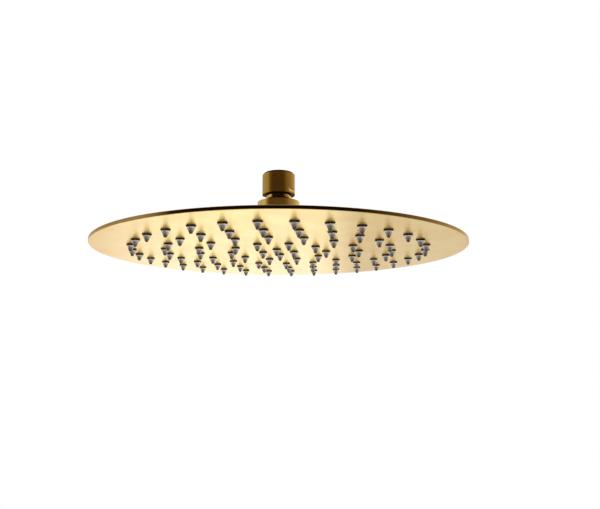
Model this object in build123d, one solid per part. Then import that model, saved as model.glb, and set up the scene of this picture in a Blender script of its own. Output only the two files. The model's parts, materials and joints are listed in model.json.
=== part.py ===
from build123d import *
from math import cos, pi, radians, sin, sqrt
import os

# A round rain shower head, 300 mm across, hung from a half-inch pipe by a ball joint.
# All sizes are in millimetres. The origin is the centre of the inlet's mouth, +Z points up
# into the pipe, and +X is the ray on which every ring of nozzles has one nozzle.

# Driving dimensions

# Spray head: two pressed sheets, welded together round the edge
head_diameter = 300.0
face_sheet = 1.2
top_sheet = 1.35
edge_break = 0.25
weld_land = 8.0
chamber_height = 7.45
top_flat_margin = 4.0

# Nozzles: soft plugs in evenly spaced rings, each held in a collar drawn out of the face plate
first_ring_radius = 12.8
last_ring_inset = 31.6
ring_counts = (4, 10, 16, 24, 32)
nozzle_sides = 8
nozzle_diameter = 5.7
nozzle_length = 5.6
nozzle_tip_diameter = 2.0
nozzle_inner_stub = 0.4
nozzle_clearance = 0.02
collar_wall = 0.35
collar_height = 1.2
jet_diameter = 1.1
jet_sides = 4

# Connector: one turned piece with the inlet thread at the top and the ball at the bottom
thread_diameter = 20.96
thread_depth = 11.0
connector_wall = 3.17
connector_length = 18.6
connector_top_chamfer = 1.5
neck_diameter = 21.0
neck_straight = 3.3
neck_gap = 6.3
water_bore = 10.0
waist_wall = 3.0
ball_diameter = 27.0
ball_end_land = 1.2
flats_depth = 0.65
flats_height = 3.6
flats_turn = -27.6

# Pieces in the inlet: washer, filter screen and flow regulator
washer_recess_step = 0.68
washer_thickness = 2.4
washer_bore = 11.0
screen_thickness = 0.4
screen_hole = 1.1
screen_pitch = 1.6
regulator_diameter = 14.0
regulator_height = 4.4
regulator_wall = 1.3
regulator_floor = 1.4
regulator_slots = 4
regulator_slot_length = 2.6
regulator_slot_width = 1.4
regulator_slot_inset = 1.1
inlet_clearance = 0.1

# Ball housing: cap, slip ring, seal and inlet boss
ball_cavity_clearance = 0.4
boss_wall = 1.5
cap_wall = 2.05
cap_height = 20.5
cap_roof = 3.95
cap_lip_clearance = 0.4
cap_mouth_clearance = 4.0
thread_clearance = 0.05
running_clearance = 0.05
slip_ring_low = 2.5
slip_ring_high = 7.5
slip_ring_contact = 24.0
seal_thickness = 2.15
seal_contact = -52.0
seal_top = -40.5
seal_bottom = -55.9
seal_clearance = 0.1
boss_drop = 20.0
boss_gap = 0.3
boss_chamber_diameter = 14.0
spigot_wall = 2.0
spigot_clearance = 0.05

# How far a cutting solid reaches past the piece that it cuts
cut_overrun = 0.8

# Heights along the axis, from the inlet's mouth down
recess_floor = -thread_depth - washer_thickness - screen_thickness
regulator_seat = recess_floor - inlet_clearance - regulator_height
connector_low = -connector_length
cap_top = connector_low - neck_gap
cap_ceiling = cap_top - cap_roof
cap_low = cap_top - cap_height
ball_centre = cap_ceiling - running_clearance - slip_ring_high
boss_low = ball_centre - boss_drop
top_plate_inside = boss_low - top_sheet
face_inside = top_plate_inside - chamber_height
face_outside = face_inside - face_sheet

# Radii that several pieces share
thread_radius = thread_diameter / 2
connector_radius = thread_radius + connector_wall
recess_radius = thread_radius - washer_recess_step
neck_radius = neck_diameter / 2
bore_radius = water_bore / 2
waist_radius = bore_radius + waist_wall
ball_radius = ball_diameter / 2
slip_radius = ball_radius + running_clearance
seal_radius = slip_radius + seal_thickness
cavity_radius = ball_radius + ball_cavity_clearance
housing_thread_radius = cavity_radius + boss_wall
cap_inner_radius = housing_thread_radius + thread_clearance
cap_radius = cap_inner_radius + cap_wall
chamber_radius = boss_chamber_diameter / 2
spigot_radius = chamber_radius + spigot_wall
head_radius = head_diameter / 2
nozzle_radius = nozzle_diameter / 2
nozzle_hole_radius = nozzle_radius + nozzle_clearance


def turned(*edges):
    """A solid of revolution about Z from edges that close an outline of (radius, height) points."""
    return revolve(Plane.XZ * make_face(edges), Axis.Z)


def turned_corners(*corners):
    """A solid of revolution about Z from a straight-sided outline."""
    return turned(*Polyline(*corners, close=True).edges())


def chain(*corners):
    """Straight edges from corner to corner, left open."""
    return Polyline(*corners).edges()


def prism(radius, sides, low, high):
    """An upright bar about Z with a regular outline."""
    return Pos(0, 0, low) * extrude(RegularPolygon(radius, sides), high - low)


def ball_height(radius):
    """Height above the ball's centre at which the ball has this radius."""
    return sqrt(ball_radius**2 - radius**2)


def cone_radius(sphere_radius, angle, height):
    """Radius, at a height above the ball's centre, of the cone that touches a sphere at this angle."""
    return (sphere_radius - height * sin(radians(angle))) / cos(radians(angle))


def cone_height(sphere_radius, angle, radius):
    """Height above the ball's centre at which that same cone has this radius."""
    return (sphere_radius - radius * cos(radians(angle))) / sin(radians(angle))


# Connector and what lies in its inlet
def make_ball_connector():
    waist_height = ball_centre + ball_height(waist_radius)
    seat_radius = regulator_diameter / 2
    end_radius = bore_radius + ball_end_land
    end_height = ball_centre - ball_height(end_radius)
    outside = chain(
        (thread_radius, 0),
        (connector_radius - connector_top_chamfer, 0),
        (connector_radius, -connector_top_chamfer),
        (connector_radius, connector_low),
        (neck_radius, connector_low),
        (neck_radius, connector_low - neck_straight),
        (waist_radius, waist_height),
    )
    ball = ThreePointArc((waist_radius, waist_height), (ball_radius, ball_centre), (end_radius, end_height))
    inside = chain(
        (end_radius, end_height),
        (bore_radius, end_height),
        (bore_radius, regulator_seat),
        (seat_radius, regulator_seat),
        (seat_radius, recess_floor),
        (recess_radius, recess_floor),
        (recess_radius, -thread_depth),
        (thread_radius, -thread_depth),
        (thread_radius, 0),
    )
    return turned(*outside, ball, *inside) - make_spanner_flats()


def make_spanner_flats():
    """Two blocks that cut the spanner flats into the connector's lower end."""
    block = Box(2 * flats_depth, 2 * connector_radius, flats_height)
    height = connector_low + flats_height / 2
    return [Rot(0, 0, flats_turn + turn) * Pos(connector_radius, 0, height) * block for turn in (0, 180)]


def make_filter_screen():
    """Disc with square holes wherever the washer above it leaves it open."""
    disc = Cylinder(recess_radius - inlet_clearance, screen_thickness)
    hole = Box(screen_hole, screen_hole, screen_thickness + 2 * cut_overrun)
    holes_across = int(washer_bore / screen_pitch) + 1
    open_radius = washer_bore / 2 - screen_hole / sqrt(2)
    grid = GridLocations(screen_pitch, screen_pitch, holes_across, holes_across)
    holes = [place * hole for place in grid if place.position.length < open_radius]
    return Pos(0, 0, recess_floor + screen_thickness / 2) * (disc - holes)


def make_inlet_washer():
    outer = recess_radius - inlet_clearance
    inner = washer_bore / 2
    low = recess_floor + screen_thickness
    high = low + washer_thickness
    return turned_corners((inner, low), (outer, low), (outer, high), (inner, high))


def make_flow_regulator():
    """Cup with slots in its floor, which meter the water."""
    outer = regulator_diameter / 2 - inlet_clearance
    inner = outer - regulator_wall
    high = regulator_seat + regulator_height
    floor = regulator_seat + regulator_floor
    cup = turned_corners(
        (0, regulator_seat),
        (outer, regulator_seat),
        (outer, high),
        (inner, high),
        (inner, floor),
        (0, floor),
    )
    slot = Box(regulator_slot_length, regulator_slot_width, regulator_floor + 2 * cut_overrun)
    slot_radius = inner - regulator_slot_inset - regulator_slot_length / 2
    places = Pos(0, 0, floor - regulator_floor / 2) * PolarLocations(slot_radius, regulator_slots)
    return cup - [place * slot for place in places]


# Ball housing
def make_ball_cap():
    """Cap that screws down over the boss, with a mouth that leaves the neck room to tilt."""
    lip_radius = ball_height(cap_ceiling - ball_centre) + cap_lip_clearance
    return turned_corners(
        (neck_radius + cap_mouth_clearance, cap_top),
        (cap_radius, cap_top),
        (cap_radius, cap_low),
        (cap_inner_radius, cap_low),
        (cap_inner_radius, cap_ceiling),
        (lip_radius, cap_ceiling),
    )


def make_ball_ring():
    """Slip ring that holds the ball down, with a cone that touches the ball above its middle."""
    outer = cap_inner_radius - running_clearance
    low = ball_centre + slip_ring_low
    high = ball_centre + slip_ring_high
    return turned_corners(
        (cone_radius(slip_radius, slip_ring_contact, slip_ring_low), low),
        (outer, low),
        (outer, high),
        (cone_radius(slip_radius, slip_ring_contact, slip_ring_high), high),
    )


def make_ball_seal():
    """Seal under the ball: a cone inside, and outside a sphere about the ball's centre."""

    def outside_point(angle):
        return (seal_radius * cos(radians(angle)), ball_centre + seal_radius * sin(radians(angle)))

    outside = ThreePointArc(
        outside_point(seal_top),
        outside_point((seal_top + seal_bottom) / 2),
        outside_point(seal_bottom),
    )
    high = seal_radius * sin(radians(seal_top))
    low = seal_radius * sin(radians(seal_bottom))
    inside = chain(
        outside @ 1,
        (cone_radius(slip_radius, seal_contact, low), ball_centre + low),
        (cone_radius(slip_radius, seal_contact, high), ball_centre + high),
        outside @ 0,
    )
    return turned(outside, *inside)


def make_inlet_boss():
    """Threaded hub, welded on the top plate, with the ball's cavity and the seal's conical seat."""
    rim = ball_centre + slip_ring_low - running_clearance
    flange_top = cap_low - boss_gap
    seat = seal_radius + seal_clearance
    return turned_corners(
        (cavity_radius, rim),
        (housing_thread_radius, rim),
        (housing_thread_radius, flange_top),
        (cap_radius, flange_top),
        (cap_radius, boss_low),
        (spigot_radius, boss_low),
        (spigot_radius, top_plate_inside),
        (chamber_radius, top_plate_inside),
        (chamber_radius, ball_centre + cone_height(seat, seal_contact, chamber_radius)),
        (cavity_radius, ball_centre + cone_height(seat, seal_contact, cavity_radius)),
    )


# Spray head
def make_top_plate():
    """Shallow cone with a flat middle for the boss and a flat land that is welded to the face plate."""
    hole = spigot_radius + spigot_clearance
    flat = cap_radius + top_flat_margin
    land = head_radius - weld_land
    land_top = face_inside + top_sheet
    return turned_corners(
        (hole, boss_low),
        (flat, boss_low),
        (land, land_top),
        (head_radius - edge_break, land_top),
        (head_radius, land_top - edge_break),
        (head_radius, face_inside),
        (land, face_inside),
        (flat, top_plate_inside),
        (hole, top_plate_inside),
    )


def nozzle_places(ring):
    """Places of one ring's nozzles on the outer side of the face plate."""
    spacing = (head_radius - last_ring_inset - first_ring_radius) / (len(ring_counts) - 1)
    radius = first_ring_radius + spacing * ring
    return Pos(0, 0, face_outside) * PolarLocations(radius, ring_counts[ring])


def make_face_plate():
    """Flat sheet with a collar drawn out of it round the hole of every nozzle."""
    sheet = turned_corners(
        (0, face_outside),
        (head_radius - edge_break, face_outside),
        (head_radius, face_outside + edge_break),
        (head_radius, face_inside),
        (0, face_inside),
    )
    collar = prism(nozzle_hole_radius + collar_wall, nozzle_sides, -collar_height, 0)
    hole = prism(nozzle_hole_radius, nozzle_sides, -collar_height - cut_overrun, face_sheet + cut_overrun)
    places = [place for ring in range(len(ring_counts)) for place in nozzle_places(ring)]
    return sheet + [place * collar for place in places] - [place * hole for place in places]


def make_nozzle():
    """One nozzle about its own axis, with the outer side of the face plate at height 0.

    It is a bar with flat sides whose lower edges are cut back to the tip, which keeps so many of them light.
    """
    stub_top = face_sheet + nozzle_inner_stub
    bar = prism(nozzle_radius, nozzle_sides, -nozzle_length, stub_top)
    tip = bar.faces().sort_by(Axis.Z)[0]
    taper_inset = (nozzle_radius - nozzle_tip_diameter / 2) * cos(pi / nozzle_sides)
    plug = chamfer(tip.edges(), taper_inset, nozzle_length - collar_height, reference=tip)
    return plug - prism(jet_diameter / 2, jet_sides, -nozzle_length - cut_overrun, stub_top + cut_overrun)


def make_nozzle_ring(ring):
    nozzle = make_nozzle()
    return Compound([place * nozzle for place in nozzle_places(ring)])


pieces = {
    "ball_connector": make_ball_connector(),
    "filter_screen": make_filter_screen(),
    "inlet_washer": make_inlet_washer(),
    "flow_regulator": make_flow_regulator(),
    "ball_cap": make_ball_cap(),
    "ball_ring": make_ball_ring(),
    "ball_seal": make_ball_seal(),
    "inlet_boss": make_inlet_boss(),
    "top_plate": make_top_plate(),
    "face_plate": make_face_plate(),
}
for ring in range(len(ring_counts)):
    pieces[f"nozzle_ring_{ring + 1}"] = make_nozzle_ring(ring)

os.makedirs("parts", exist_ok=True)
for name, shape in pieces.items():
    export_step(shape, f"parts/{name}.step")
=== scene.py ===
import json
from math import cos, pi, radians, sin

import bpy
from mathutils import Euler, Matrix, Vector


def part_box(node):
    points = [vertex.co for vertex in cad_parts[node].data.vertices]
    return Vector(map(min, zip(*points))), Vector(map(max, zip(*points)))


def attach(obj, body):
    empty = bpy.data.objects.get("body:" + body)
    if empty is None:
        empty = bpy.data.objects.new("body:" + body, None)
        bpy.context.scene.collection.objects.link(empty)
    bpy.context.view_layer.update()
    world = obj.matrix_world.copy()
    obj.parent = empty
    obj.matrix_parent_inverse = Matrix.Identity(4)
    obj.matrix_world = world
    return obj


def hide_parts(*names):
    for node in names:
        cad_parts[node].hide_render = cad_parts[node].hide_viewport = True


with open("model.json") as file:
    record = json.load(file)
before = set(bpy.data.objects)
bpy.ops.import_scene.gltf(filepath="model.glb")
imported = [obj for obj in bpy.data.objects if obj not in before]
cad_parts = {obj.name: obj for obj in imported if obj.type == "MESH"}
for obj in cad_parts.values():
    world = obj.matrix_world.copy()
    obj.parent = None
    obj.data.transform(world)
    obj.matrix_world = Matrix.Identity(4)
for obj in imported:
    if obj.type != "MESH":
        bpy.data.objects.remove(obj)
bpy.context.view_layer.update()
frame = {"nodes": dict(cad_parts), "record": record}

MM = 0.001
UP = (0.0, 0.0, 1.0)

# Photograph: its width in pixels, and the camera that was fitted to the disc's outline and nozzles
IMAGE_WIDTH = 600
FOCAL_PIXELS = 597.6
PRINCIPAL_X = 278.5
CAMERA_DISTANCE = 486.3 * MM
CAMERA_DROP = 81.1 * MM
CAMERA_AZIMUTH = radians(6.4)
CAMERA_PITCH = radians(9.20)
CAMERA_ROLL = radians(0.18)
SENSOR_WIDTH = 36.0
CLIP_START = 10 * MM

# Nozzle rings, as in the solids
RING_COUNTS = (4, 10, 16, 24, 32)
NOZZLE_RADIUS = 2.85 * MM
NOZZLE_LENGTH = 5.6 * MM
COLLAR_HEIGHT = 1.2 * MM
face_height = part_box("face_plate")[0].z + COLLAR_HEIGHT

# Round nozzles and collars. The collars reach a little past the eight-sided ones of the solid
COLLAR_COVER = 0.03 * MM
COLLAR_END = -COLLAR_HEIGHT - COLLAR_COVER
TURN_SEGMENTS = 28

# Inlet thread
THREAD_RADIUS = 10.48 * MM
THREAD_PITCH = 1.814 * MM
THREAD_DEPTH = 1.16 * MM
THREAD_TOP = -0.9 * MM
THREAD_LENGTH = 9.4 * MM
THREAD_STEPS_PER_TURN = 72

# Rim: from the flat of the sheet to its cut edge, above the broken edge of the face plate
RIM_START = 149.6 * MM
RIM_END = 149.9 * MM
EDGE_BREAK = 0.24 * MM
rim_low = face_height + EDGE_BREAK

# Connector: the height where its head ends, its spanner flats, and the band of its neck that is a painted
# highlight between painted shade at both ends. The slopes of its edges are heights of the surface's normal,
# from -1 for facing down to 1 for facing up
HEAD_LOW = -18.6 * MM
FLATS_TURN = radians(-27.6)
FLATS_RADIUS = 13.0 * MM
FLATS_TOP = -15.0 * MM
NECK_LINE = -19.5 * MM
NECK_FOOT = -22.0 * MM
NECK_FADE = 0.6 * MM
TOP_EDGE_SLOPE = (0.3, 0.5)
LEVEL_SLOPE = 0.9
UNDER_SIDE_SLOPE = (-0.5, -0.7)
CLOSE = 0.03 * MM

# Colours, linear. Pairs are the dark and light end of a noise, and rows are places on a ramp
WHITE = (1.0, 1.0, 1.0)
SHEET_GOLD = (
    (0.36, (0.89, 0.55, 0.15)),
    (0.50, (0.90, 0.60, 0.18)),
    (0.64, (0.91, 0.65, 0.21)),
)
SHEET_EDGE_GLOSS = (1.0, 0.84, 0.5)
# The rim's gold, darkened as painted shade
RIM_SHADED_GOLD = (0.43, 0.27, 0.085)
TURNED_GOLD = ((0.84, 0.56, 0.17), (0.92, 0.66, 0.23))
# The connector's turned gold, darkened as painted shade
HEAD_SHADED_GOLD = ((0.51, 0.30, 0.06), (0.59, 0.37, 0.09))
# The neck's painted highlight, and the painted shade at its ends
NECK_LIT_GOLD = (0.86, 0.60, 0.22)
NECK_SHADE = (0.12, 0.06, 0.015)
# Painted shade on the head's sloping top edge, with its gloss held down
TOP_EDGE_SHADE = (0.035, 0.020, 0.008)
TOP_EDGE_SHADE_GLOSS = (0.05, 0.03, 0.02)
# Painted shade on the head's under side, with its gloss toned down
UNDER_SIDE_SHADE = (0.12, 0.07, 0.03)
UNDER_SIDE_SHADE_GLOSS = (0.33, 0.33, 0.33)
# Painted shade at the foot of the spanner flats, below a painted highlight
FLATS_PAINTED_LIGHT = (
    (0.15, (0.34, 0.19, 0.05)),
    (0.60, (0.95, 0.70, 0.32)),
)
# The collars' gold, darkened as painted shade
COLLAR_SHADED_GOLD = ((0.09, 0.055, 0.022), (0.12, 0.075, 0.03))
# Silicone along the nozzle: painted shade towards the tip, and a painted highlight on the lip
SILICONE_SHADING = (
    (0.00, (0.12, 0.08, 0.06)),
    (0.35, (0.28, 0.24, 0.21)),
    (0.70, (0.47, 0.47, 0.46)),
    (0.82, (0.54, 0.55, 0.56)),
    (0.86, (0.90, 0.91, 0.93)),
)
RUBBER_BLACK = ((0.02, 0.02, 0.02), (0.045, 0.045, 0.045))
PLASTIC_WHITE = ((0.74, 0.74, 0.71), (0.82, 0.82, 0.80))
SCREEN_STEEL = (
    (0.2, (0.22, 0.22, 0.23)),
    (0.8, (0.58, 0.58, 0.60)),
)

# Noise: the range of most of its values, and its scales in features per metre, some along X, Y and Z
NOISE_RANGE = (0.3, 0.7)
SHEET_CLOUDS = (60.0, 40.0, 40.0)
SHEET_STREAKS = (6.0, 240.0, 240.0)
SHEET_LINES = (14.0, 1800.0, 1800.0)
TURNED_STREAKS = (260.0, 260.0, 12.0)
TURNED_RINGS = (12.0, 12.0, 9000.0)
COLLAR_CLOUDS = (400.0, 400.0, 400.0)
SILICONE_GRAIN = 900.0
RUBBER_GRAIN = 1400.0
PLASTIC_GRAIN = 700.0
SCREEN_WIRES = 640.0

# Floor
FLOOR_HEIGHT = -0.80
FLOOR_RADIUS = 2.4
FLOOR_SEGMENTS = 96
FLOOR_GREY = (0.50, 0.50, 0.50)
FLOOR_GLOW = 0.88

# Lamps: place, aim, width and power in watts
LAMPS = {
    "back_left": ((-1.2, 1.6, 0.9), (0.0, 0.0, -0.2), 1.2, 10.0),
    "low_right": ((1.15, 0.34, -0.25), (0.0, 0.0, -0.07), 0.6, 12.0),
    "low_left": ((-1.20, 0.34, -0.25), (0.0, 0.0, -0.07), 0.6, 11.0),
}

# World. The camera sees white. All other rays see one surround that depends on direction alone, because
# the metal in the photograph reflects a room that is bright on the far side and dark round the camera.
# Rows are degrees from the camera's side, positive to its right, with a linear colour. The zones lie in
# this order from straight down to straight up: floor, low, wall, upper and high
SURROUND_FLOOR = (0.90, 0.88, 0.84)
SURROUND_LOW = (
    (-180, (1.36, 1.54, 1.56)),
    (-172, (1.36, 1.57, 1.56)),
    (-166, (1.34, 1.51, 1.53)),
    (-162, (0.97, 0.95, 0.87)),
    (-145, (0.80, 0.76, 0.70)),
    (-125, (0.30, 0.27, 0.23)),
    (-60, (0.22, 0.195, 0.165)),
    (55, (0.22, 0.195, 0.165)),
    (85, (0.30, 0.27, 0.23)),
    (120, (0.36, 0.33, 0.29)),
    (145, (0.76, 0.72, 0.66)),
    (160, (0.79, 0.83, 0.78)),
    (165, (0.84, 0.93, 0.95)),
    (170, (0.85, 0.90, 0.92)),
    (173, (0.69, 0.68, 0.64)),
    (175, (1.36, 1.57, 1.62)),
)
SURROUND_WALL = (
    (-180, (0.40, 0.36, 0.36)),
    (-150, (0.52, 0.48, 0.42)),
    (-130, (0.62, 0.58, 0.48)),
    (-112, (0.58, 0.54, 0.44)),
    (-84, (0.66, 0.62, 0.51)),
    (-74, (0.46, 0.42, 0.33)),
    (-62, (0.035, 0.024, 0.008)),
    (-50, (0.010, 0.006, 0.002)),
    (44, (0.010, 0.006, 0.002)),
    (54, (0.09, 0.062, 0.022)),
    (68, (0.18, 0.125, 0.05)),
    (92, (0.40, 0.29, 0.14)),
    (114, (0.61, 0.58, 0.49)),
    (132, (0.70, 0.67, 0.58)),
    (150, (0.80, 0.80, 0.80)),
    (168, (0.80, 0.84, 0.92)),
    (174, (0.40, 0.36, 0.36)),
    (180, (0.40, 0.36, 0.36)),
)
SURROUND_UPPER = (
    (-180, (0.80, 0.76, 0.70)),
    (-100, (0.52, 0.47, 0.39)),
    (-62, (0.52, 0.38, 0.15)),
    (-48, (0.22, 0.095, 0.006)),
    (32, (0.22, 0.095, 0.006)),
    (48, (0.55, 0.40, 0.16)),
    (60, (0.88, 0.72, 0.42)),
    (90, (0.74, 0.68, 0.57)),
    (180, (0.80, 0.76, 0.70)),
)
SURROUND_HIGH = (0.80, 0.77, 0.71)

# Where one zone fades into the next, and where the low zone takes on its tint towards the horizon. The
# heights are those of a direction, from -1 straight down to 1 straight up
FLOOR_START = (-0.72, -0.90)
WALL_START = (0.00, 0.08)
UPPER_START = (0.30, 0.44)
HIGH_START = (0.60, 0.74)
TINT_RANGE = (-0.24, -0.08)
LOW_TINT = (1.0, 1.01, 1.03)
HORIZON_TINT = (0.98, 0.92, 1.13)


# Mesh helpers
def add_mesh(name, vertices, faces):
    """A new smooth-shaded piece in the scene."""
    mesh = bpy.data.meshes.new(name)
    mesh.from_pydata(vertices, [], faces)
    mesh.update()
    mesh.polygons.foreach_set("use_smooth", [True] * len(mesh.polygons))
    piece = bpy.data.objects.new(name, mesh)
    bpy.context.scene.collection.objects.link(piece)
    return piece


def turned_ring(outline, segments):
    """Vertices and faces of a closed outline of (radius, height) points turned about Z."""
    vertices = []
    for step in range(segments):
        turn = 2 * pi * step / segments
        vertices += [(radius * cos(turn), radius * sin(turn), height) for radius, height in outline]
    count = len(outline)
    faces = []
    for step in range(segments):
        here = step * count
        there = (step + 1) % segments * count
        for point in range(count):
            following = (point + 1) % count
            faces.append((here + point, there + point, there + following, here + following))
    return vertices, faces


def copies(vertices, faces, places):
    """The same shape set down at several places."""
    all_vertices = []
    all_faces = []
    for place in places:
        offset = len(all_vertices)
        all_vertices += [tuple(Vector(vertex) + place) for vertex in vertices]
        all_faces += [tuple(offset + index for index in face) for face in faces]
    return all_vertices, all_faces


def arc(centre, radius, start, end, steps):
    """Points of (radius, height) along an arc, with angles in degrees."""
    points = []
    for step in range(steps + 1):
        angle = radians(start + (end - start) * step / steps)
        points.append((centre[0] + radius * cos(angle), centre[1] + radius * sin(angle)))
    return points


def ring_places(ring):
    """Places of one ring's nozzles on the face plate's outer side, read from the ring's own node."""
    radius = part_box(f"nozzle_ring_{ring + 1}")[1].x - NOZZLE_RADIUS
    count = RING_COUNTS[ring]
    turns = [2 * pi * step / count for step in range(count)]
    return [Vector((radius * cos(turn), radius * sin(turn), face_height)) for turn in turns]


# Material helpers
class Nodes:
    """A material's or world's node tree, with short calls for the nodes that are used here."""

    def __init__(self, tree):
        self.tree = tree

    def add(self, kind, **settings):
        node = self.tree.nodes.new(kind)
        for name, value in settings.items():
            setattr(node, name, value)
        return node

    def link(self, output, socket):
        self.tree.links.new(output, socket)

    def set(self, node, **values):
        """Sets sockets by name, with _ for each space in the name."""
        for name, value in values.items():
            node.inputs[name.replace("_", " ")].default_value = value

    def position(self):
        """The place on the piece, in the piece's own frame."""
        return self.add("ShaderNodeTexCoord").outputs["Object"]

    def height(self):
        return self.dot(self.position(), UP)

    def from_axis(self):
        """The way out from the part's axis, square to it."""
        return self.vector("MULTIPLY", self.position(), (1.0, 1.0, 0.0))

    def noise(self, vector, scale, detail=2.0, roughness=0.5):
        noise = self.add("ShaderNodeTexNoise")
        self.set(noise, Scale=scale, Detail=detail, Roughness=roughness)
        self.link(vector, noise.inputs["Vector"])
        return noise.outputs["Fac"]

    def stretched_noise(self, scales, detail=2.0, roughness=0.5):
        """Noise with its own scale along each axis."""
        mapping = self.add("ShaderNodeMapping")
        mapping.inputs["Scale"].default_value = scales
        self.link(self.position(), mapping.inputs["Vector"])
        return self.noise(mapping.outputs["Vector"], 1.0, detail, roughness)

    def ramp(self, value, *stops):
        ramp = self.add("ShaderNodeValToRGB")
        elements = ramp.color_ramp.elements
        for element, (place, colour) in zip(elements, (stops[0], stops[-1])):
            element.position = place
            element.color = (*colour, 1.0)
        for place, colour in stops[1:-1]:
            elements.new(place).color = (*colour, 1.0)
        self.link(value, ramp.inputs["Fac"])
        return ramp.outputs["Color"]

    def range(self, value, low, high, to_low, to_high, smooth=False):
        kind = "SMOOTHSTEP" if smooth else "LINEAR"
        node = self.add("ShaderNodeMapRange", interpolation_type=kind)
        self.set(node, From_Min=low, From_Max=high, To_Min=to_low, To_Max=to_high)
        self.link(value, node.inputs["Value"])
        return node.outputs["Result"]

    def spread(self, noise, low, high):
        """A number that follows a noise from low to high."""
        return self.range(noise, *NOISE_RANGE, low, high)

    def shades(self, noise, dark, light):
        """A colour that follows a noise from dark to light."""
        return self.ramp(noise, *zip(NOISE_RANGE, (dark, light)))

    def share(self, value, start, end, smooth=False):
        """How far a value has come from start to end, from 0 to 1."""
        return self.range(value, start, end, 0.0, 1.0, smooth)

    def math(self, operation, first, second=0.0):
        node = self.add("ShaderNodeMath", operation=operation)
        for socket, value in zip(node.inputs, (first, second)):
            if isinstance(value, (int, float)):
                socket.default_value = value
            else:
                self.link(value, socket)
        return node.outputs["Value"]

    def product(self, first, *others):
        for other in others:
            first = self.math("MULTIPLY", first, other)
        return first

    def rest(self, share):
        """What a share leaves of one."""
        return self.math("SUBTRACT", 1.0, share)

    def dot(self, vector, other):
        node = self.add("ShaderNodeVectorMath", operation="DOT_PRODUCT")
        node.inputs[1].default_value = other
        self.link(vector, node.inputs[0])
        return node.outputs["Value"]

    def vector(self, operation, first, second=(0.0, 0.0, 0.0)):
        node = self.add("ShaderNodeVectorMath", operation=operation)
        for socket, value in zip(node.inputs, (first, second)):
            if isinstance(value, tuple):
                socket.default_value = value
            else:
                self.link(value, socket)
        return node.outputs["Value" if operation == "LENGTH" else "Vector"]

    def mix(self, share, first, second):
        node = self.add("ShaderNodeMix", data_type="RGBA")
        self.link(share, node.inputs["Factor"])
        for socket, value in ((node.inputs["A"], first), (node.inputs["B"], second)):
            if isinstance(value, tuple):
                socket.default_value = (*value, 1.0)
            else:
                self.link(value, socket)
        return node.outputs["Result"]

    def grain(self, across, shader):
        """Stretches the gloss across the brush lines. The direction is in the piece's own frame."""
        node = self.add("ShaderNodeVectorTransform", vector_type="VECTOR")
        node.convert_from = "OBJECT"
        node.convert_to = "WORLD"
        if isinstance(across, tuple):
            node.inputs["Vector"].default_value = across
        else:
            self.link(across, node.inputs["Vector"])
        self.link(node.outputs["Vector"], shader.inputs["Tangent"])

    def bump(self, height, strength, depth):
        node = self.add("ShaderNodeBump")
        self.set(node, Strength=strength, Distance=depth)
        self.link(height, node.inputs["Height"])
        return node.outputs["Normal"]


def new_material(name):
    material = bpy.data.materials.new(name)
    material.use_nodes = True
    nodes = Nodes(material.node_tree)
    shader = material.node_tree.nodes["Principled BSDF"]
    return material, nodes, shader


# Materials
def make_gold_sheet(name, smooth, rough, coat, cloud, streak, stretch):
    """Brushed gold sheet with a polished rim darkened as painted shade, and lines along X that vary the
    roughness from smooth to rough.

    The strengths are those of the clear coat, the cloudy tone, the brush streaks and the gloss's stretch.
    """
    rim_polish = 0.85
    # Tilted out of the sheet's plane, so that it is no face's normal
    across_lines = (0.0, 0.94, 0.34)
    material, nodes, shader = new_material(name)
    clouds = nodes.stretched_noise(SHEET_CLOUDS, detail=2.0, roughness=0.6)
    clouds = nodes.range(clouds, 0.0, 1.0, 0.5 - cloud / 2, 0.5 + cloud / 2)
    streaks = nodes.stretched_noise(SHEET_STREAKS, detail=4.0, roughness=0.7)
    tone = nodes.math("ADD", clouds, nodes.spread(streaks, -streak, streak))
    colour = nodes.ramp(tone, *SHEET_GOLD)
    radius = nodes.vector("LENGTH", nodes.from_axis())
    above = nodes.math("GREATER_THAN", nodes.height(), rim_low)
    rim = nodes.product(nodes.share(radius, RIM_START, RIM_END), above)
    # The rim's colour is painted shade
    nodes.link(nodes.mix(rim, colour, RIM_SHADED_GOLD), shader.inputs["Base Color"])
    lines = nodes.stretched_noise(SHEET_LINES, detail=3.0, roughness=0.6)
    brushed = nodes.spread(lines, smooth, rough)
    polished = nodes.rest(nodes.product(rim, rim_polish))
    nodes.link(nodes.product(brushed, polished), shader.inputs["Roughness"])
    nodes.link(nodes.bump(lines, strength=0.12, depth=0.05 * MM), shader.inputs["Normal"])
    nodes.grain(across_lines, shader)
    nodes.set(shader, Metallic=1.0, Anisotropic=stretch, Specular_Tint=(*SHEET_EDGE_GLOSS, 1.0))
    nodes.set(shader, Coat_Weight=coat, Coat_Roughness=0.30, Coat_IOR=1.5)
    return material


def turned_finish(nodes, shader, dark, light):
    """Fine rings round the axis and faint streaks along it. Returns the colour and the roughness."""
    smooth = 0.23
    rough = 0.29
    streaks = nodes.stretched_noise(TURNED_STREAKS)
    rings = nodes.stretched_noise(TURNED_RINGS, roughness=0.6)
    nodes.link(nodes.bump(rings, strength=0.04, depth=0.02 * MM), shader.inputs["Normal"])
    outward = nodes.vector("NORMALIZE", nodes.from_axis())
    nodes.grain(nodes.vector("ADD", outward, UP), shader)
    nodes.set(shader, Metallic=1.0, Anisotropic=0.5)
    return nodes.shades(streaks, dark, light), nodes.spread(rings, smooth, rough)


def make_turned_gold(name, dark, light):
    material, nodes, shader = new_material(name)
    colour, roughness = turned_finish(nodes, shader, dark, light)
    nodes.link(colour, shader.inputs["Base Color"])
    nodes.link(roughness, shader.inputs["Roughness"])
    return material


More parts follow.
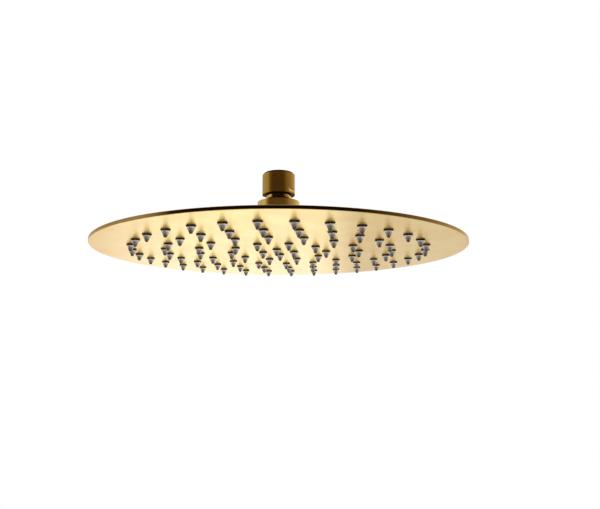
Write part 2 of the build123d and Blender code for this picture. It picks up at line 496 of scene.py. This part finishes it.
def make_connector_gold():
    """Turned gold, darkened on the head as painted shade. The head has painted shade on its sloping top edge
    and its polished under side, and painted shade below a painted highlight on its milled flats. The neck is
    polished too, with a painted highlight as a bright band between painted shade at both ends.
    """
    polish_strength = 0.55
    material, nodes, shader = new_material("connector_gold")
    colour, roughness = turned_finish(nodes, shader, *HEAD_SHADED_GOLD)
    height = nodes.height()
    slope = nodes.dot(nodes.add("ShaderNodeTexCoord").outputs["Normal"], UP)
    # Neck, with a painted highlight as a bright band between painted shade at both ends
    neck = nodes.math("LESS_THAN", height, HEAD_LOW - CLOSE)
    head = nodes.rest(neck)
    upper_neck_shade = nodes.share(height, NECK_LINE, NECK_LINE + NECK_FADE)
    lower_neck_shade = nodes.share(height, NECK_FOOT, NECK_FOOT - NECK_FADE)
    neck_shading = nodes.math("MAXIMUM", upper_neck_shade, lower_neck_shade)
    colour = nodes.mix(neck, colour, nodes.mix(neck_shading, NECK_LIT_GOLD, NECK_SHADE))
    # Sloping top edge of the head, but not its level end: painted shade, with its gloss held down
    sloping = nodes.math("LESS_THAN", slope, LEVEL_SLOPE)
    top = nodes.product(nodes.share(slope, *TOP_EDGE_SLOPE), sloping, head)
    colour = nodes.mix(top, colour, TOP_EDGE_SHADE)
    # Under side of the head: painted shade
    under = nodes.product(nodes.share(slope, *UNDER_SIDE_SLOPE), head)
    colour = nodes.mix(under, colour, UNDER_SIDE_SHADE)
    edge_gloss = nodes.mix(top, WHITE, TOP_EDGE_SHADE_GLOSS)
    edge_gloss = nodes.mix(under, edge_gloss, UNDER_SIDE_SHADE_GLOSS)
    nodes.link(edge_gloss, shader.inputs["Specular Tint"])
    # Spanner flats: the two planes at the flats' distance from the axis, with painted shade at their foot
    # below a painted highlight
    across = nodes.dot(nodes.position(), (cos(FLATS_TURN), sin(FLATS_TURN), 0.0))
    across = nodes.math("ABSOLUTE", across)
    inside = nodes.math("LESS_THAN", across, FLATS_RADIUS + CLOSE)
    outside = nodes.math("GREATER_THAN", across, FLATS_RADIUS - CLOSE)
    flats = nodes.product(inside, outside, nodes.math("LESS_THAN", height, FLATS_TOP))
    flats_light = nodes.ramp(nodes.share(height, HEAD_LOW, FLATS_TOP), *FLATS_PAINTED_LIGHT)
    nodes.link(nodes.mix(flats, colour, flats_light), shader.inputs["Base Color"])
    polish = nodes.product(nodes.math("MAXIMUM", neck, under), polish_strength)
    nodes.link(nodes.product(roughness, nodes.rest(polish)), shader.inputs["Roughness"])
    return material


def make_shaded_collar_gold():
    """The drawn collars: gold darkened as painted shade, and smoother than the sheet."""
    smooth = 0.12
    rough = 0.20
    material, nodes, shader = new_material("collar_shaded_gold")
    clouds = nodes.stretched_noise(COLLAR_CLOUDS)
    nodes.link(nodes.shades(clouds, *COLLAR_SHADED_GOLD), shader.inputs["Base Color"])
    nodes.link(nodes.spread(clouds, smooth, rough), shader.inputs["Roughness"])
    nodes.set(shader, Metallic=1.0)
    return material


def make_grey_silicone():
    """Soft silicone, pale at the base with a painted highlight on the lip, and darker towards the tip as
    painted shade.
    """
    smooth = 0.26
    rough = 0.36
    mottle = 0.05
    scatter_radius = (1.0, 1.0, 1.0)
    scatter_depth = 1.2 * MM
    material, nodes, shader = new_material("grey_silicone")
    along = nodes.share(nodes.height(), face_height - NOZZLE_LENGTH, face_height - COLLAR_HEIGHT)
    grain = nodes.noise(nodes.position(), SILICONE_GRAIN)
    tone = nodes.math("ADD", along, nodes.spread(grain, -mottle, mottle))
    # Painted shade towards the tip and a painted highlight on the lip
    nodes.link(nodes.ramp(tone, *SILICONE_SHADING), shader.inputs["Base Color"])
    nodes.link(nodes.spread(grain, smooth, rough), shader.inputs["Roughness"])
    nodes.link(nodes.bump(grain, strength=0.08, depth=0.05 * MM), shader.inputs["Normal"])
    nodes.set(shader, Subsurface_Weight=0.8, Subsurface_Radius=scatter_radius)
    nodes.set(shader, Subsurface_Scale=scatter_depth)
    return material


def make_moulded(name, grain_scale, shades, smooth, rough, relief, depth):
    """Moulded rubber or plastic: one grain sets its colour, its roughness and its relief."""
    material, nodes, shader = new_material(name)
    grain = nodes.noise(nodes.position(), grain_scale, detail=3.0)
    nodes.link(nodes.shades(grain, *shades), shader.inputs["Base Color"])
    nodes.link(nodes.spread(grain, smooth, rough), shader.inputs["Roughness"])
    nodes.link(nodes.bump(grain, relief, depth), shader.inputs["Normal"])
    return material


def make_screen_steel():
    """Steel screen: a fine weave of wires in both directions, rougher between the wires."""
    rough = 0.45
    smooth = 0.25
    material, nodes, shader = new_material("screen_steel")
    wires = []
    for direction in ("X", "Y"):
        wave = nodes.add("ShaderNodeTexWave", wave_type="BANDS", bands_direction=direction)
        nodes.set(wave, Scale=SCREEN_WIRES, Distortion=0.0)
        nodes.link(nodes.position(), wave.inputs["Vector"])
        wires.append(wave.outputs["Fac"])
    weave = nodes.math("MAXIMUM", *wires)
    nodes.link(nodes.ramp(weave, *SCREEN_STEEL), shader.inputs["Base Color"])
    nodes.link(nodes.range(weave, 0.0, 1.0, rough, smooth), shader.inputs["Roughness"])
    nodes.link(nodes.bump(weave, strength=0.5, depth=0.1 * MM), shader.inputs["Normal"])
    nodes.set(shader, Metallic=1.0)
    return material


# Pieces
def nozzle_outline():
    """Closed outline of one nozzle: plug, bevelled lip over the collar's end, cone, blunt tip and bore."""
    plug = 2.80 * MM
    inside = 1.4 * MM
    lip = 3.10 * MM
    lip_round = 0.12 * MM
    lip_bevel = 0.42 * MM
    tip = 1.10 * MM
    tip_round = 0.25 * MM
    bore = 0.55 * MM
    bore_round = 0.12 * MM
    sag = 0.06 * MM
    cone_steps = 8
    low = -NOZZLE_LENGTH
    lip_height = COLLAR_END - lip_round
    outline = [(bore, inside), (plug, inside), (plug, COLLAR_END)]
    outline += arc((lip - lip_round, lip_height), lip_round, 90, -45, 4)
    top = (outline[-1][0] - lip_bevel, outline[-1][1] - lip_bevel)
    outline.append(top)
    end = (tip, low + tip_round)
    for step in range(1, cone_steps):
        share = step / cone_steps
        radius = top[0] + (end[0] - top[0]) * share - sag * sin(pi * share)
        outline.append((radius, top[1] + (end[1] - top[1]) * share))
    outline += arc((tip - tip_round, low + tip_round), tip_round, 0, -90, 4)
    outline += arc((bore + bore_round, low + bore_round), bore_round, 270, 180, 3)
    return outline


def collar_outline():
    """Closed outline of one collar: a small fillet out of the plate, the wall and a rounded edge."""
    outer = 3.32 * MM
    inner = 2.86 * MM
    fillet = 0.50 * MM
    edge = 0.06 * MM
    buried = 0.05 * MM
    outline = arc((outer + fillet, -fillet), fillet, 90, 180, 6)
    outline += arc((outer - edge, COLLAR_END + edge), edge, 0, -90, 4)
    outline += arc((inner + edge, COLLAR_END + edge), edge, 270, 180, 4)
    outline += [(inner, buried), (outer + fillet, buried)]
    return outline


def make_nozzles():
    vertices, faces = turned_ring(nozzle_outline(), TURN_SEGMENTS)
    material = make_grey_silicone()
    for ring in range(len(RING_COUNTS)):
        node = f"nozzle_ring_{ring + 1}"
        piece = add_mesh(f"nozzles_{ring + 1}", *copies(vertices, faces, ring_places(ring)))
        piece.data.materials.append(material)
        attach(piece, "head")
        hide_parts(node)


def make_collars():
    vertices, faces = turned_ring(collar_outline(), TURN_SEGMENTS)
    places = [place for ring in range(len(RING_COUNTS)) for place in ring_places(ring)]
    piece = add_mesh("nozzle_collars", *copies(vertices, faces, places))
    piece.data.materials.append(make_shaded_collar_gold())
    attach(piece, "head")


def thread_section(middle, depth):
    """Outline of the thread's ridge as (radius, height) points, from its upper to its lower root."""
    flank = 0.30 * THREAD_PITCH
    crest = 0.08 * THREAD_PITCH
    rooted = 0.05 * MM
    return (
        (THREAD_RADIUS + rooted, middle + crest + flank),
        (THREAD_RADIUS - depth, middle + crest),
        (THREAD_RADIUS - depth, middle - crest),
        (THREAD_RADIUS + rooted, middle - crest - flank),
    )


def make_thread(material):
    """Inlet thread: a ridge that winds down the inlet's wall, with its ends tapered away."""
    taper_turns = 0.4
    least_rise = 0.02
    turns = THREAD_LENGTH / THREAD_PITCH
    steps = int(turns * THREAD_STEPS_PER_TURN)
    vertices = []
    for step in range(steps + 1):
        done = turns * step / steps
        angle = 2 * pi * done
        rise = min(1.0, done / taper_turns, (turns - done) / taper_turns)
        section = thread_section(THREAD_TOP - THREAD_PITCH * done, THREAD_DEPTH * max(rise, least_rise))
        vertices += [(radius * cos(angle), radius * sin(angle), height) for radius, height in section]
    count = len(section)
    faces = []
    for step in range(steps):
        here = step * count
        there = here + count
        for point in range(count):
            following = (point + 1) % count
            faces.append((here + point, here + following, there + following, there + point))
    last = steps * count
    faces.append(tuple(reversed(range(count))))
    faces.append(tuple(range(last, last + count)))
    piece = add_mesh("inlet_thread_ridge", vertices, faces)
    piece.data.materials.append(material)
    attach(piece, "connector")


def dress_nodes(materials):
    """Gives each solid the material under its own name, or else the one under its slot in the record."""
    for entry in frame["record"]["subparts"]:
        material = materials.get(entry["node"], materials.get(entry["material_slot"]))
        if material is not None:
            node = frame["nodes"][entry["node"]]
            node.data.materials.clear()
            node.data.materials.append(material)


# Studio
def make_floor():
    """Pale floor with a soft shadow. It glows white to the camera, and the metal shows the world instead."""
    vertices = []
    for step in range(FLOOR_SEGMENTS):
        turn = 2 * pi * step / FLOOR_SEGMENTS
        vertices.append((FLOOR_RADIUS * cos(turn), FLOOR_RADIUS * sin(turn), FLOOR_HEIGHT))
    floor = add_mesh("floor", vertices, [tuple(range(FLOOR_SEGMENTS))])
    material, nodes, shader = new_material("floor_white")
    material.node_tree.nodes.remove(shader)
    output = material.node_tree.nodes["Material Output"]
    diffuse = nodes.add("ShaderNodeBsdfDiffuse")
    nodes.set(diffuse, Color=(*FLOOR_GREY, 1.0))
    glow = nodes.add("ShaderNodeEmission")
    path = nodes.add("ShaderNodeLightPath")
    seen = nodes.math("MAXIMUM", path.outputs["Is Camera Ray"], path.outputs["Is Glossy Ray"])
    seen = nodes.math("MAXIMUM", seen, path.outputs["Is Transmission Ray"])
    nodes.link(nodes.product(seen, FLOOR_GLOW), glow.inputs["Strength"])
    both = nodes.add("ShaderNodeAddShader")
    nodes.link(diffuse.outputs["BSDF"], both.inputs[0])
    nodes.link(glow.outputs["Emission"], both.inputs[1])
    nodes.link(both.outputs["Shader"], output.inputs["Surface"])
    floor.data.materials.append(material)
    floor.visible_glossy = False


def turn_stops(rows):
    """A surround's rows as places on a ramp over the whole turn."""
    return [((turn + 180) / 360, colour) for turn, colour in rows]


def make_world():
    """White to the camera, and the surround in all its zones to everything else."""
    world = bpy.data.worlds.new("studio")
    world.use_nodes = True
    bpy.context.scene.world = world
    nodes = Nodes(world.node_tree)
    background = world.node_tree.nodes["Background"]
    direction = nodes.add("ShaderNodeTexCoord").outputs["Generated"]
    across = nodes.dot(direction, (cos(CAMERA_AZIMUTH), sin(CAMERA_AZIMUTH), 0.0))
    behind = nodes.dot(direction, (sin(CAMERA_AZIMUTH), -cos(CAMERA_AZIMUTH), 0.0))
    up = nodes.dot(direction, UP)
    around = nodes.share(nodes.math("ARCTAN2", across, behind), -pi, pi)
    tint = nodes.ramp(nodes.share(up, *TINT_RANGE), (0.0, LOW_TINT), (1.0, HORIZON_TINT))
    low = nodes.vector("MULTIPLY", nodes.ramp(around, *turn_stops(SURROUND_LOW)), tint)
    wall = nodes.ramp(around, *turn_stops(SURROUND_WALL))
    upper = nodes.ramp(around, *turn_stops(SURROUND_UPPER))
    colour = nodes.mix(nodes.share(up, *WALL_START, smooth=True), low, wall)
    colour = nodes.mix(nodes.share(up, *FLOOR_START, smooth=True), colour, SURROUND_FLOOR)
    colour = nodes.mix(nodes.share(up, *UPPER_START, smooth=True), colour, upper)
    colour = nodes.mix(nodes.share(up, *HIGH_START, smooth=True), colour, SURROUND_HIGH)
    camera = nodes.add("ShaderNodeLightPath").outputs["Is Camera Ray"]
    nodes.link(nodes.mix(camera, colour, WHITE), background.inputs["Color"])


def make_lamp(name, place, aim, width, power):
    """A round lamp that doesn't show in the metal."""
    data = bpy.data.lights.new(name, "AREA")
    data.shape = "DISK"
    data.size = width
    data.energy = power
    lamp = bpy.data.objects.new(name, data)
    lamp.visible_glossy = False
    lamp.location = place
    lamp.rotation_euler = (Vector(aim) - Vector(place)).to_track_quat("-Z", "Y").to_euler()
    bpy.context.scene.collection.objects.link(lamp)


def make_camera():
    data = bpy.data.cameras.new("camera")
    data.sensor_fit = "HORIZONTAL"
    data.sensor_width = SENSOR_WIDTH
    data.lens = FOCAL_PIXELS * SENSOR_WIDTH / IMAGE_WIDTH
    data.shift_x = (IMAGE_WIDTH / 2 - PRINCIPAL_X) / IMAGE_WIDTH
    data.clip_start = CLIP_START
    camera = bpy.data.objects.new("camera", data)
    camera.location = (
        CAMERA_DISTANCE * sin(CAMERA_AZIMUTH),
        -CAMERA_DISTANCE * cos(CAMERA_AZIMUTH),
        face_height - CAMERA_DROP,
    )
    turn = Euler((radians(90) + CAMERA_PITCH, 0.0, CAMERA_AZIMUTH)).to_matrix()
    roll = Euler((0.0, 0.0, CAMERA_ROLL)).to_matrix()
    camera.rotation_euler = (turn @ roll).to_euler()
    bpy.context.scene.collection.objects.link(camera)
    bpy.context.scene.camera = camera


face_sheet = make_gold_sheet(
    "gold_sheet", smooth=0.28, rough=0.36, coat=0.8, cloud=1.0, streak=0.025, stretch=0.78
)
top_sheet = make_gold_sheet(
    "satin_gold_sheet", smooth=0.36, rough=0.46, coat=0.3, cloud=0.30, streak=0.09, stretch=0.60
)
turned_gold = make_turned_gold("gold_brass", *TURNED_GOLD)
rubber = make_moulded(
    "black_rubber", RUBBER_GRAIN, RUBBER_BLACK, smooth=0.55, rough=0.75, relief=0.2, depth=0.08 * MM
)
plastic = make_moulded(
    "white_plastic", PLASTIC_GRAIN, PLASTIC_WHITE, smooth=0.35, rough=0.5, relief=0.06, depth=0.05 * MM
)
dress_nodes({
    "ball_connector": make_connector_gold(),
    "top_plate": top_sheet,
    "gold_sheet": face_sheet,
    "gold_brass": turned_gold,
    "black_rubber": rubber,
    "white_plastic": plastic,
    "screen_steel": make_screen_steel(),
})
make_nozzles()
make_collars()
make_thread(turned_gold)
make_floor()
make_world()
for lamp_name, settings in LAMPS.items():
    make_lamp(lamp_name, *settings)
make_camera()

bpy.context.scene.view_settings.view_transform = "Standard"
